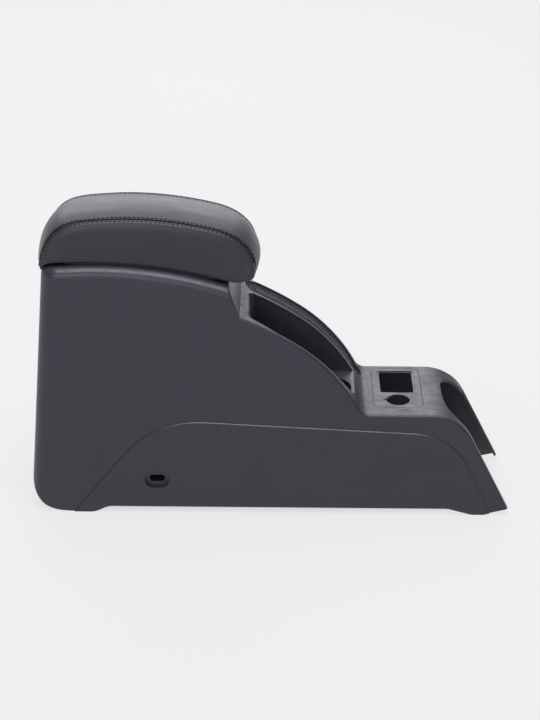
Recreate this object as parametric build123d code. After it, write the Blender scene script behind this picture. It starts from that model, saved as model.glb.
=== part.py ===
from build123d import *
import math
import os

# Centre armrest console that stands over a car's floor tunnel, in millimetres.
# +X points to the front of the car, +Y to its left, +Z up, with the floor at z = 0.

# Side view of the console, from the rear foot forwards
rear_lean = 4.1
rear_corner_z = 40.0
box_length = 239.5
box_height = 315.5
top_arc_radius = 510.0
top_apex_from_rear = 83.5
front_wall_run = 13.0
slope_top_z = 255.5
slope_top_fall = 22.0
slope_upper_run = 71.5
slope_knee_z = 217.8
slope_lower_run = 75.5
deck_z = 131.5
slope_foot_radius = 14.0
deck_length = 118.0
nose_radius = 58.0
leg_angle = 63.0
toe_z = 7.4
foot_front_from_toe = 30.0
foot_rear_from_toe = 44.0
sill_z = 8.0
sill_front_from_toe = 74.0
sill_rear_from_rear = 93.0
lobe_front_from_rear = 76.0
lobe_rear_from_rear = 57.0
lobe_bend_from_rear = 17.0
lobe_bend_z = 7.5
sill_blend = 22.0
foot_blend = 4.0

# Width, wall and rounded edges of the console
base_half_width = 75.4
side_draft = 2.4
wall = 3.0
rear_edge_radius = 22.0
rim_radius = 12.0
panel_edge_radius = 3.0

# Raised skirt along each side wall
skirt_step = 1.6
skirt_chamfer = 1.0
skirt_rear_from_rear = 50.7
skirt_shoulder_from_rear = 150.0
skirt_shoulder_z = 124.2
skirt_front_shoulder_from_toe = 70.0
skirt_front_shoulder_z = 106.3
skirt_end_from_toe = 21.2
skirt_rear_radius = 118.0
skirt_front_radius = 78.0

# Slotted fixing recess in each skirt
slot_from_rear = 152.5
slot_z = 44.0
slot_length = 19.0
slot_width = 9.0
recess_length = 30.0
recess_width = 22.0
recess_depth = 5.0

# Storage bin under the lid
mouth_rear_rim = 27.6
mouth_front_rim = 15.0
mouth_side_rim = 22.6
mouth_radius = 14.0
bin_wall = 2.2
bin_floor_z = 120.0
bin_draft = 1.5
bin_fit = 0.4
flange_width = 8.5
flange_thickness = 1.6

# Hand-brake slot on the far side of the slope, its gaiter and the frame under it
brake_slot_rear_rim = 5.0
brake_slot_length = 145.0
brake_slot_width = 33.0
brake_slot_far_rim = 5.0
gaiter_gap = 1.0
gaiter_thickness = 2.0
gaiter_recess = 1.8
gaiter_rings = 3
gaiter_bead = 2.2
gaiter_groove = 1.6
gaiter_flange = 6.0
frame_thickness = 2.0

# Pocket and cup well on the near side of the slope
pocket_rear_rim = 9.5
pocket_length = 130.5
pocket_near_rim = 6.4
pocket_near_run = 36.0
pocket_near_turn = 9.0
pocket_rib_rear = 4.0
pocket_rib_front = 6.0
pocket_rear_radius = 8.0
pocket_front_radius = 26.0
pocket_floor_z = 147.0
pocket_rear_slope = 12.0
tub_wall = 2.2
tub_flange = 7.0
flange_fit = 0.5
cup_radius = 29.0
cup_floor_z = 86.0
cup_near_gap = 6.0
cup_front_gap = 4.5

# Switch plate inset in the deck
plate_rear_gap = 16.0
plate_length = 59.0
plate_width = 107.8
plate_far_rim = 9.0
plate_radius = 8.0
plate_thickness = 2.5
plate_groove = 0.6
plate_ledge = 5.0
ledge_thickness = 3.5
window_length = 40.5
window_width = 57.0
window_far_gap = 9.0
window_radius = 3.0
window_lip = 2.5
window_lip_height = 0.8
socket_from_near = 20.0
socket_radius = 14.4
key_width = 4.0
key_depth = 2.2
snap_leg_from_side = 15.0
snap_leg_width = 7.0
snap_leg_thickness = 1.6
snap_hook = 1.0

# Arch between the front legs
arch_behind_nose = 17.7
arch_side_ahead = 38.0
arch_crown_y = 12.0
arch_shoulder_behind_nose = 9.0
arch_near_shoulder = 57.0
arch_far_shoulder = 31.5
arch_far_knee_ahead = 13.0
arch_far_knee = 7.4
arch_near_rim = 10.0
arch_far_rim = 11.0

# Padded lid, its heights measured from the top of the box
lid_gap = 3.0
lid_side_inset = 10.6
lid_rear_inset = 0.2
lid_front_overhang = 29.5
lid_height = 55.0
lid_crown = 9.0
lid_lip_drop = 11.2
lid_nose_drop = 15.0
lid_nose_under_drop = 22.5
lip_clearance = 1.1
lip_gap = 2.0
cover_thickness = 1.6
cover_return = 14.0
pan_thickness = 4.0
pan_margin = 6.0
layer_gap = 0.1
liner_thickness = 1.5
liner_fit = 0.5
bumper_radius = 6.0
bumper_height = 1.2

# Side outline of the lid's dome: share of its length, share of its height, outward angle in degrees
lid_dome = [
    (0.02, 0.48, 165),
    (0.10, 0.83, 128),
    (0.24, 0.96, 105),
    (0.42, 1.0, 90),
    (0.755, 0.855, 70),
    (0.92, 0.62, 48),
    (0.985, 0.34, 15),
]
rear_foot_crown = 0.7
nose_crown = 0.5

# Lid hinge on the rear wall
hinge_width = 44.0
hinge_knuckles = 5
hinge_drop = 12.0
hinge_offset = 2.9
knuckle_radius = 2.6
knuckle_gap = 0.3
pin_radius = 1.2
pin_clearance = 0.05
pin_head_radius = 2.2
pin_head_length = 1.2
leaf_thickness = 1.5
leaf_wall_gap = 0.1
body_leaf_height = 27.0
lid_leaf_reach = 30.0
hinge_screw_spacing = 28.0

# Countersunk screws and the bosses they go into
screw_radius = 1.6
screw_head_radius = 3.2
screw_length = 8.0
screw_fit = 0.1
boss_radius = 3.6
boss_height = 7.0

# Places along the side view
lean = math.tan(math.radians(rear_lean))
draft = math.tan(math.radians(side_draft))
leg = math.radians(leg_angle)
leg_run = (deck_z - toe_z) / math.tan(leg)
length = box_length + front_wall_run + slope_upper_run + slope_lower_run + deck_length + leg_run
rear_x = -length / 2
toe_x = length / 2
apex_x = rear_x + top_apex_from_rear
box_front_x = rear_x + box_length
slope_top_x = box_front_x + front_wall_run
slope_knee_x = slope_top_x + slope_upper_run
slope_foot_x = slope_knee_x + slope_lower_run
nose_x = slope_foot_x + deck_length
plate_rear_x = slope_foot_x + plate_rear_gap
plate_middle_x = plate_rear_x + plate_length / 2


def half_width(z):
    """Outer half width of the console at height z."""
    return base_half_width - z * draft


# Places across the console, from the walls' drafted outer faces
box_half_width = half_width(box_height)
slope_half_width = half_width(slope_knee_z)
deck_half_width = half_width(deck_z)
mouth_half_width = box_half_width - mouth_side_rim
lid_half_width = box_half_width - lid_side_inset
brake_slot_y = slope_half_width - brake_slot_far_rim - brake_slot_width / 2
brake_slot_near_y = brake_slot_y - brake_slot_width / 2
pocket_near_y = pocket_near_rim - slope_half_width
plate_far_y = deck_half_width - plate_far_rim
plate_near_y = plate_far_y - plate_width

# Limits that lie clear of the whole console
reach = 2 * base_half_width
below_floor = -base_half_width
above_box = box_height + base_half_width
under_deck = deck_z / 2


def arc_z(x, lift=0.0):
    """Height of the box's arched top at x, or of an arc that is lifted off it."""
    radius = top_arc_radius + lift
    return box_height - top_arc_radius + math.sqrt(radius ** 2 - (x - apex_x) ** 2)


def rear_wall_x(z):
    """Outer face of the leaning rear wall at height z."""
    return rear_x + (z - rear_corner_z) * lean


def rear_top_corner():
    """Corner where the rear wall meets the arched top."""
    x = rear_wall_x(box_height)
    for _ in range(20):
        x = rear_wall_x(arc_z(x))
    return (x, arc_z(x))


def top_arc(start_x, end_x, lift=0.0):
    """Stretch of the arch between two places along X."""
    middle_x = (start_x + end_x) / 2
    return ThreePointArc(
        (start_x, arc_z(start_x, lift)), (middle_x, arc_z(middle_x, lift)), (end_x, arc_z(end_x, lift))
    )


def upper_edges():
    """Side view of the console from its rear top corner to the end of its rounded nose."""
    rear_top = rear_top_corner()
    front_top = (box_front_x, arc_z(box_front_x))
    slope_top = (slope_top_x, slope_top_z)
    knee = (slope_knee_x, slope_knee_z)
    slope_foot = (slope_foot_x, deck_z)
    fall = math.radians(slope_top_fall)
    nose_reach = nose_radius * math.tan(leg / 2)
    deck_end = (nose_x - nose_reach, deck_z)
    nose_end = (nose_x + nose_reach * math.cos(leg), deck_z - nose_reach * math.sin(leg))
    slope_upper = TangentArc(slope_top, knee, tangent=(math.cos(fall), -math.sin(fall)))
    slope_lower = TangentArc(knee, slope_foot, tangent=slope_upper % 1)
    edges = [
        top_arc(rear_top[0], box_front_x),
        Line(front_top, slope_top),
        slope_upper,
        slope_lower,
        Line(slope_foot, deck_end),
        TangentArc(deck_end, nose_end, tangent=(1, 0)),
    ]
    return edges, rear_top, nose_end


def open_outline():
    """Side view of the console's outer faces, run on below the floor, with a soft foot to the slope."""
    edges, rear_top, nose_end = upper_edges()
    front_low = (nose_end[0] + (nose_end[1] - below_floor) / math.tan(leg), below_floor)
    rear_low = (rear_wall_x(below_floor), below_floor)
    edges += [Line(nose_end, front_low), Line(front_low, rear_low), Line(rear_low, rear_top)]
    face = make_face(edges)
    return fillet(face.vertices().sort_by_distance((slope_foot_x, deck_z))[0], slope_foot_radius)


def hollow_outline(depth):
    """Side view of the space a depth inside the console's outer faces, open at the floor."""
    return offset(open_outline(), amount=-depth, kind=Kind.INTERSECTION)


def across(face):
    """Side-view face as a slab right across the console."""
    return extrude(Plane.XZ * face, reach, both=True)


def upright(face, low_z, high_z):
    """Plan-view face as a prism between two heights."""
    return extrude(Plane.XY.offset(low_z) * face, high_z - low_z)


def under_console():
    """Everything below the console's lobes, sills and feet."""
    rear_low = (rear_x, rear_corner_z)
    lobe_rear = (rear_x + lobe_rear_from_rear, 0)
    lobe_bend = (rear_x + lobe_bend_from_rear, lobe_bend_z)
    toe = (toe_x, toe_z)
    sill = FilletPolyline(
        toe,
        (toe_x - foot_front_from_toe, 0),
        (toe_x - foot_rear_from_toe, 0),
        (toe_x - sill_front_from_toe, sill_z),
        (rear_x + sill_rear_from_rear, sill_z),
        (rear_x + lobe_front_from_rear, 0),
        lobe_rear,
        radius=[foot_blend, sill_blend, sill_blend, sill_blend, sill_blend],
    )
    corner = Spline(lobe_rear, lobe_bend, rear_low, tangents=[(-1, 0), (0, 1)])
    closing = Polyline(
        rear_low,
        (rear_x - reach, rear_corner_z),
        (rear_x - reach, 2 * below_floor),
        (toe_x + reach, 2 * below_floor),
        (toe_x + reach, toe_z),
        toe,
    )
    return across(make_face([sill, corner, closing]))


def between_walls(inset):
    """Drafted prism between planes that lie inset from the side walls' outer faces."""
    side = inset / math.cos(math.radians(side_draft))
    low = half_width(below_floor) - side
    high = half_width(above_box) - side
    corners = [(-low, below_floor), (low, below_floor), (high, above_box), (-high, above_box)]
    return extrude(Plane.YZ * make_face(Polyline(*corners, close=True)), length, both=True)


def rounded_body(face, inset):
    """Console body inside a side-view face, with its rear edges and box rim rounded."""
    body = across(face) & between_walls(inset)
    rear_edges = [
        edge
        for edge in body.edges().filter_by(GeomType.LINE)
        if edge.center().X < rear_x + lobe_front_from_rear and edge.bounding_box().size.Z > box_height / 2
    ]
    body = fillet(rear_edges, rear_edge_radius - inset)
    top = body.faces().sort_by(Axis.Z)[-1]
    rim = [edge for edge in top.edges() if edge.center().X < box_front_x - 2 * wall]
    return fillet(rim, rim_radius - inset)


def under_arch(lift):
    """Everything below an arc that is lifted off the box's arched top."""
    start_x = rear_x - lid_front_overhang
    end_x = box_front_x + 2 * lid_front_overhang
    edges = [
        top_arc(start_x, end_x, lift),
        Line((end_x, arc_z(end_x, lift)), (end_x, below_floor)),
        Line((end_x, below_floor), (start_x, below_floor)),
        Line((start_x, below_floor), (start_x, arc_z(start_x, lift))),
    ]
    return across(make_face(edges))


def rounded_rectangle(low_x, high_x, low_y, high_y, radius):
    """Plan-view rectangle with rounded corners."""
    middle = Pos((low_x + high_x) / 2, (low_y + high_y) / 2)
    return middle * RectangleRounded(high_x - low_x, high_y - low_y, radius)


def turned(points):
    """Solid turned about Z from a half profile of radii and heights."""
    return revolve(Plane.XZ * make_face(Polyline(*points, close=True)), Axis.Z)


def countersunk_screw():
    """Screw along -Z with its flat head at z = 0."""
    neck = (screw_radius, screw_radius - screw_head_radius)
    tip = (screw_radius, -screw_length)
    return turned([(0, 0), (screw_head_radius, 0), neck, tip, (0, -screw_length)])


def screw_hole():
    """Clearance for one countersunk screw along -Z, open above its head."""
    head = screw_head_radius + screw_fit
    shank = screw_radius + screw_fit
    open_z = head - shank
    low_z = -screw_length - screw_fit
    return turned([(0, open_z), (head, open_z), (head, 0), (shank, shank - head), (shank, low_z), (0, low_z)])


# Plan views of the openings
def mouth_rear_x():
    return rear_wall_x(box_height) + mouth_rear_rim


def mouth_front_x():
    return box_front_x - mouth_front_rim


def bin_plan(grow):
    return rounded_rectangle(
        mouth_rear_x() - grow,
        mouth_front_x() + grow,
        -mouth_half_width - grow,
        mouth_half_width + grow,
        mouth_radius + grow,
    )


def pocket_plan(grow):
    rear = slope_top_x + pocket_rear_rim
    front = rear + pocket_length
    rear_near = (rear, pocket_near_y + pocket_near_turn)
    rear_far = (rear, brake_slot_near_y - pocket_rib_rear)
    points = [
        rear_near,
        (rear + pocket_near_run, pocket_near_y),
        (front, pocket_near_y),
        (front, brake_slot_near_y - pocket_rib_front),
        rear_far,
    ]
    face = make_face(Polyline(*points, close=True))
    face = fillet(face.vertices().sort_by_distance((front, pocket_near_y))[0], pocket_front_radius)
    for corner in (rear_near, rear_far):
        face = fillet(face.vertices().sort_by_distance(corner)[0], pocket_rear_radius)
    return offset(face, amount=grow) if grow else face


def brake_slot_plan(grow):
    middle_x = slope_top_x + brake_slot_rear_rim + brake_slot_length / 2
    slot = SlotOverall(brake_slot_length + 2 * grow, brake_slot_width + 2 * grow)
    return Pos(middle_x, brake_slot_y) * slot


def plate_plan(grow):
    return rounded_rectangle(
        plate_rear_x - grow,
        plate_rear_x + plate_length + grow,
        plate_near_y - grow,
        plate_far_y + grow,
        plate_radius + grow,
    )


def arch_plan():
    side_x = nose_x + arch_side_ahead
    ahead_x = toe_x + wall
    near_y = arch_near_rim - base_half_width
    far_y = base_half_width - arch_far_rim
    shoulder_x = nose_x - arch_shoulder_behind_nose
    crown = Spline(
        (side_x, near_y),
        (shoulder_x, arch_crown_y - arch_near_shoulder),
        (nose_x - arch_behind_nose, arch_crown_y),
        (shoulder_x, arch_crown_y + arch_far_shoulder),
        (nose_x + arch_far_knee_ahead, far_y - arch_far_knee),
        (side_x, far_y),
        tangents=[(-1, 0), (1, 0)],
    )
    edges = [
        Line((ahead_x, near_y), (side_x, near_y)),
        crown,
        Line((side_x, far_y), (ahead_x, far_y)),
        Line((ahead_x, far_y), (ahead_x, near_y)),
    ]
    return make_face(edges)


# Places of the screws
def bin_screw_spots():
    side_y = mouth_half_width + flange_width / 2
    inset_x = mouth_radius + flange_width
    return [
        Pos(x, y, arc_z(x, flange_thickness))
        for x in (mouth_rear_x() + inset_x, mouth_front_x() - inset_x)
        for y in (-side_y, side_y)
    ]


def body_leaf_plane():
    """Plane on the rear wall's outer face at the hinge's height, with its normal pointing backwards."""
    slant = math.radians(rear_lean)
    hinge_z = box_height - hinge_drop
    return Plane(
        origin=(rear_wall_x(hinge_z), 0, hinge_z),
        x_dir=(0, -1, 0),
        z_dir=(-math.cos(slant), 0, math.sin(slant)),
    )


def body_leaf_screw_spots():
    low = -body_leaf_height + screw_head_radius + leaf_thickness
    high = leaf_wall_gap + leaf_thickness
    plane = body_leaf_plane()
    return [plane.location * Pos(side * hinge_screw_spacing / 2, low, high) for side in (-1, 1)]


def hinge_axis():
    """Place of the hinge axis in the side view, behind the rear wall."""
    point = body_leaf_plane().from_local_coords((0, 0, hinge_offset))
    return (point.X, point.Z)


def lid_leaf_front_x():
    return hinge_axis()[0] + lid_leaf_reach


def underside_screw(x, y):
    """Upward screw in the lid's underside, its head flush with the liner's lower face."""
    return Pos(x, y, arc_z(x, lid_gap)) * Rot(180, 0, 0)


def lid_leaf_screw_spots():
    x = lid_leaf_front_x() - screw_head_radius - leaf_thickness
    return [underside_screw(x, side * hinge_screw_spacing / 2) for side in (-1, 1)]


def liner_screw_spots():
    rear = lid_leaf_front_x() + screw_head_radius + mouth_radius
    front = box_front_x - mouth_radius
    side_y = lid_half_width - cover_return - 2 * screw_head_radius
    return [underside_screw(x, y) for x in (rear, front) for y in (-side_y, side_y)]


# Console pieces
def side_fixings(shell):
    """Recessed slotted hole through each skirt, with a cup behind it."""
    centre_x = rear_x + slot_from_rear
    wall_y = half_width(slot_z) + skirt_step
    for side in (-1, 1):
        face = Plane(origin=(centre_x, side * wall_y, slot_z), x_dir=(1, 0, 0), z_dir=(0, side, 0))
        cup_depth = recess_depth + wall
        cup = extrude(face * SlotOverall(recess_length + 2 * wall, recess_width + 2 * wall), -cup_depth)
        shell += cup & between_walls(0)
        shell -= extrude(face * SlotOverall(recess_length, recess_width), recess_depth, both=True)
        shell -= extrude(face * SlotOverall(slot_length, slot_width), 2 * cup_depth, both=True)
    return shell


def skirt():
    """Raised lower part of both side walls, under the feature line."""
    shoulder = (rear_x + skirt_shoulder_from_rear, skirt_shoulder_z)
    front_shoulder = (toe_x - skirt_front_shoulder_from_toe, skirt_front_shoulder_z)
    line = FilletPolyline(
        (rear_x + skirt_rear_from_rear, 0),
        shoulder,
        front_shoulder,
        (toe_x - skirt_end_from_toe, 0),
        radius=[skirt_rear_radius, skirt_front_radius],
    )
    closing = Line((toe_x - skirt_end_from_toe, 0), (rear_x + skirt_rear_from_rear, 0))
    below = make_face([line, closing])
    slab = across(below) & between_walls(-skirt_step)
    sides = [face for face in slab.faces() if abs(face.center().Y) > base_half_width / 2]
    ledge = [edge for face in sides for edge in face.edges() if edge.bounding_box().max.Z > sill_z]
    return chamfer(ledge, skirt_chamfer) - under_console()


def console_shell():
    body = rounded_body(open_outline(), 0) - under_console()
    panel_edges = [
        edge
        for edge in body.edges()
        if edge.center().X > box_front_x and abs(edge.center().Y) > base_half_width / 2
        and edge.bounding_box().size.Y < base_half_width / 2
        and edge.center().Z > toe_z + nose_radius / 2
    ]
    body = fillet(panel_edges, panel_edge_radius)
    hollow = rounded_body(hollow_outline(wall), wall)
    shell = body + skirt() - hollow

    top_z = box_height + rim_radius
    shell -= upright(bin_plan(0), bin_floor_z, top_z)
    shell -= upright(pocket_plan(0), pocket_floor_z, top_z)
    shell -= upright(brake_slot_plan(0), under_deck, top_z)
    shell -= upright(arch_plan(), below_floor, deck_z + wall)

    ledge_low = deck_z - plate_thickness - ledge_thickness
    pad = upright(plate_plan(wall), ledge_low, deck_z - wall) & between_walls(wall / 2)
    shell += pad
    shell -= upright(plate_plan(plate_groove), deck_z - plate_thickness, deck_z + wall)
    shell -= upright(plate_plan(-plate_ledge), ledge_low - wall, deck_z)

    for spot in bin_screw_spots():
        boss = spot * Pos(0, 0, -flange_thickness - boss_height / 2) * Cylinder(boss_radius, boss_height)
        shell += boss & across(hollow_outline(wall / 2))
        shell -= spot * screw_hole()
    for spot in body_leaf_screw_spots():
        seat = leaf_wall_gap + leaf_thickness
        boss = spot * Pos(0, 0, -seat - wall / 2 - boss_height / 2) * Cylinder(boss_radius, boss_height)
        shell += boss
        shell -= spot * screw_hole()
    return side_fixings(shell)


def storage_bin():
    top_z = box_height + flange_thickness
    depth = top_z - bin_floor_z
    top_plane = Plane.XY.offset(top_z)
    outside = extrude(top_plane * bin_plan(-bin_fit), -depth - bin_wall, taper=bin_draft)
    inside = extrude(top_plane * bin_plan(-bin_fit - bin_wall), -depth, taper=bin_draft)
    flange_top = under_arch(flange_thickness)
    flange = upright(bin_plan(flange_width), bin_floor_z, top_z) & (flange_top - under_arch(0))
    tub = (outside & flange_top) + flange - inside
    for spot in bin_screw_spots():
        tub -= spot * screw_hole()
    return tub


def pocket_tub():
    rear = slope_top_x + pocket_rear_rim
    front = rear + pocket_length
    high_z = slope_top_z + wall
    seat = wall + layer_gap

    def side_view(grow):
        low_z = pocket_floor_z - grow
        points = [
            (rear - grow, high_z),
            (rear - grow + pocket_rear_slope, low_z),
            (front + grow, low_z),
            (front + grow, high_z),
        ]
        return across(make_face(Polyline(*points, close=True)))

    under_panel = across(hollow_outline(seat))
    outside = side_view(tub_wall) & upright(pocket_plan(tub_wall), pocket_floor_z - tub_wall, high_z)
    inside = side_view(0) & upright(pocket_plan(0), pocket_floor_z, high_z)
    band = under_panel - across(hollow_outline(seat + tub_wall))
    flange = band & upright(pocket_plan(tub_flange), pocket_floor_z, high_z) & between_walls(seat)
    flange -= upright(pocket_plan(0), pocket_floor_z, high_z)
    flange -= upright(brake_slot_plan(gaiter_flange + flange_fit), pocket_floor_z, high_z)
    tub = (outside & under_panel) + flange - inside

    cup_x = front - cup_radius - cup_front_gap
    cup_y = pocket_near_y + cup_radius + cup_near_gap
    cup = Pos(cup_x, cup_y)
    tub += under_panel & (cup * upright(Circle(cup_radius + tub_wall), cup_floor_z - tub_wall, pocket_floor_z))
    return tub - cup * upright(Circle(cup_radius), cup_floor_z, pocket_floor_z + tub_wall)


def slope_band(upper, lower):
    """Layer under the slope and deck, between two depths below their outer faces."""
    return across(hollow_outline(upper)) - across(hollow_outline(lower))


def brake_column(grow):
    """Prism of the hand-brake slot's plan through the slope and deck."""
    return upright(brake_slot_plan(grow), under_deck, slope_top_z + wall)


def beside_pocket():
    """Prism of the pocket's walls with a little room round them."""
    return upright(pocket_plan(tub_wall + flange_fit), under_deck, slope_top_z + wall)


def handbrake_gaiter():
    flange_top = wall + layer_gap
    flange_low = flange_top + gaiter_thickness
    flange = slope_band(flange_top, flange_low) & brake_column(gaiter_flange) & between_walls(flange_top)
    gaiter = flange - beside_pocket() + (slope_band(gaiter_recess, flange_low) & brake_column(-gaiter_gap))
    folds = slope_band(gaiter_recess, flange_top)
    for ring in range(gaiter_rings):
        edge = gaiter_gap + gaiter_bead + ring * (gaiter_bead + gaiter_groove)
        gaiter -= folds & (brake_column(-edge) - brake_column(-edge - gaiter_groove))
    return gaiter


def gaiter_frame():
    top = wall + gaiter_thickness + 2 * layer_gap
    ring = slope_band(top, top + frame_thickness) & between_walls(wall + layer_gap)
    return ring & (brake_column(gaiter_flange) - brake_column(-gaiter_gap) - beside_pocket())


def switch_plate():
    low_z = deck_z - plate_thickness
    window_far_y = plate_far_y - window_far_gap
    window_near_y = window_far_y - window_width

    def window(grow):
        half = window_length / 2 + grow
        return rounded_rectangle(
            plate_middle_x - half,
            plate_middle_x + half,
            window_near_y - grow,
            window_far_y + grow,
            window_radius + grow,
        )

    socket_y = plate_near_y + socket_from_near
    key_length = socket_radius + key_depth
    socket = Pos(plate_middle_x, socket_y) * Circle(socket_radius)
    key = Pos(plate_middle_x - key_length / 2, socket_y) * Rectangle(key_length, key_width)
    plate = upright(plate_plan(0), low_z, deck_z)
    plate -= upright(window(window_lip), deck_z - window_lip_height, deck_z)
    plate -= upright(window(0), low_z, deck_z)
    plate -= upright(socket + key, low_z, deck_z)
    for side in (-1, 1):
        for y in (plate_near_y + snap_leg_from_side, plate_far_y - snap_leg_from_side):
            plate += snap_leg(side, y)
    return plate


def snap_leg(side, y):
    """Hooked leg that holds the plate's rear or front edge under the deck's ledge."""
    low_z = deck_z - plate_thickness
    drop = ledge_thickness + snap_hook + 2 * layer_gap
    ledge_x = plate_middle_x + side * (plate_length / 2 - plate_ledge)
    leg_x = ledge_x - side * (snap_leg_thickness / 2 + layer_gap)
    hook_x = ledge_x + side * (snap_hook / 2 - layer_gap)
    upstand = Pos(leg_x, y, low_z - drop / 2) * Box(snap_leg_thickness, snap_leg_width, drop)
    hook = Pos(hook_x, y, low_z - drop + snap_hook / 2) * Box(snap_hook, snap_leg_width, snap_hook)
    return upstand + hook


# Lid pieces
def lid_section(y, crown, skin, lift, lip):
    """Side view of the lid at one place across it: arched underside, domed top and rounded nose."""
    rear = rear_wall_x(box_height) + lid_rear_inset
    front = box_front_x + lid_front_overhang
    low_z = box_height - lid_lip_drop
    rise = box_height + lid_height - low_z
    grow = crown - skin
    dome_points = []
    for along, up, outward in lid_dome:
        angle = math.radians(outward)
        x = rear + along * (front - rear) + grow * math.cos(angle)
        dome_points.append((x, low_z + up * rise + grow * math.sin(angle)))
    rear_foot_x = rear - rear_foot_crown * crown + skin
    nose = (front + nose_crown * crown - skin, box_height - lid_nose_drop)
    under_front = (box_front_x, arc_z(box_front_x, lift))
    under_middle = ((box_front_x + front) / 2, box_height - lid_nose_under_drop + lift - lid_gap)
    if lip:
        lip_front_x = rear_wall_x(box_height) + rim_radius
        rear_foot = (rear_foot_x, low_z)
        lip_foot = (lip_front_x, low_z)
        lip_top = (lip_front_x, arc_z(lip_front_x, lift))
        lip_edges = [Line(rear_foot, lip_foot), Line(lip_foot, lip_top)]
        underside = lip_edges + [top_arc(lip_front_x, box_front_x, lift)]
    else:
        rear_foot = (rear_foot_x, arc_z(rear_foot_x, lift))
        underside = [top_arc(rear_foot_x, box_front_x, lift)]
    dome = Spline(rear_foot, *dome_points, nose)
    return Plane.XZ.offset(-y) * make_face(underside + [ThreePointArc(under_front, under_middle, nose), dome])


def lid_body(skin, lift, lip=False):
    """Solid of the lid inside a skin, lofted across from side to side over a crowned middle."""
    side_y = lid_half_width - skin
    sections = [
        lid_section(-side_y, 0, skin, lift, lip),
        lid_section(0, lid_crown, skin, lift, lip),
        lid_section(side_y, 0, skin, lift, lip),
    ]
    return loft(sections)


def lid_window(grow):
    """Opening in the lid's underside, inside the cover's turned-in edge."""
    rear = lid_leaf_front_x() + screw_head_radius
    side_y = lid_half_width - cover_return + grow
    plan = rounded_rectangle(rear - grow, box_front_x + grow, -side_y, side_y, mouth_radius)
    return upright(plan, slope_top_z, above_box)


def leaf_clearance(grow):
    """Space for the lid leaf along the underside of the lid, from its lip forwards."""
    rear = hinge_axis()[0] - lip_clearance
    front = lid_leaf_front_x() + grow
    plan = Pos((rear + front) / 2, 0) * Rectangle(front - rear, hinge_width + 2 * grow)
    return upright(plan, slope_top_z, above_box)


def pan_low():
    return lid_gap + cover_thickness + layer_gap


def pan_high():
    return pan_low() + pan_thickness


def lid_cover():
    outside = lid_body(0, lid_gap, lip=True)
    inside = lid_body(cover_thickness, lid_gap + cover_thickness)
    underside = under_arch(lid_gap + cover_thickness + layer_gap)
    cover = outside - inside - rounded_body(hollow_outline(-lip_gap), -lip_gap)
    cover -= lid_window(0) & underside
    cover -= leaf_clearance(liner_fit) & underside
    half = hinge_width / 2 + pin_head_length + knuckle_gap
    return cover - along_axis(knuckle_radius + 2 * knuckle_gap, -half, half)


def lid_bosses(grow):
    bosses = []
    for spot in lid_leaf_screw_spots() + liner_screw_spots():
        high = pan_thickness + boss_height + grow
        low = cover_thickness + layer_gap
        bosses.append(spot * Pos(0, 0, -low - high / 2) * Cylinder(boss_radius + grow, high))
    return bosses


def pan_block(grow):
    """Arched plate of the pan, set in from the cover all round."""
    inset = cover_thickness + pan_margin - grow
    side_y = lid_half_width - inset
    rear = rear_wall_x(box_height) + lid_rear_inset + inset
    plan = rounded_rectangle(rear, box_front_x + grow, -side_y, side_y, mouth_radius)
    layer = under_arch(pan_high() + grow) - under_arch(pan_low() - grow)
    return layer & upright(plan, slope_top_z, above_box)


def lid_pan():
    pan = pan_block(0)
    for boss in lid_bosses(0):
        pan += boss - under_arch(pan_low())
    for spot in lid_leaf_screw_spots() + liner_screw_spots():
        pan -= spot * screw_hole()
    return pan


def lid_foam():
    foam = lid_body(cover_thickness + layer_gap, pan_low()) - pan_block(layer_gap)
    for boss in lid_bosses(liner_fit):
        foam -= boss
    return foam


def lid_liner():
    layer = under_arch(lid_gap + liner_thickness) - under_arch(lid_gap)
    liner = layer & lid_window(-liner_fit)
    for spot in liner_screw_spots():
        liner -= spot * screw_hole()
    return liner


def lid_bumpers():
    side_y = mouth_half_width + flange_width / 2
    layer = under_arch(lid_gap - layer_gap) - under_arch(lid_gap - bumper_height)
    pads = []
    for x in (mouth_front_x() - flange_width, apex_x):
        for y in (-side_y, side_y):
            plan = Pos(x, y) * Circle(bumper_radius)
            pads.append(layer & upright(plan, slope_top_z, above_box))
    return pads


# Hinge pieces
def knuckle_spans(first):
    """Ranges along Y of every second knuckle, starting with the one named."""
    pitch = hinge_width / hinge_knuckles
    spans = []
    for index in range(first, hinge_knuckles, 2):
        low = -hinge_width / 2 + index * pitch
        spans.append((low + knuckle_gap / 2, low + pitch - knuckle_gap / 2))
    return spans


def along_axis(radius, low_y, high_y):
    """Cylinder on the hinge axis between two places across the console."""
    axis_x, axis_z = hinge_axis()
    middle = Pos(axis_x, (low_y + high_y) / 2, axis_z) * Rot(90, 0, 0)
    return middle * Cylinder(radius, high_y - low_y)


def leaf_with_knuckles(leaf, own, other):
    for low_y, high_y in other:
        leaf -= along_axis(knuckle_radius + knuckle_gap, low_y - knuckle_gap, high_y + knuckle_gap)
    for low_y, high_y in own:
        leaf += along_axis(knuckle_radius, low_y, high_y)
    return leaf - along_axis(pin_radius + pin_clearance, -hinge_width, hinge_width)


def hinge_body_leaf():
    plane = body_leaf_plane().offset(leaf_wall_gap)
    outline = Pos(0, -body_leaf_height / 2) * Rectangle(hinge_width, body_leaf_height)
    plate = extrude(plane * outline, leaf_thickness)
    leaf = leaf_with_knuckles(plate, knuckle_spans(0), knuckle_spans(1))
    for spot in body_leaf_screw_spots():
        leaf -= spot * screw_hole()
    return leaf


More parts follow.
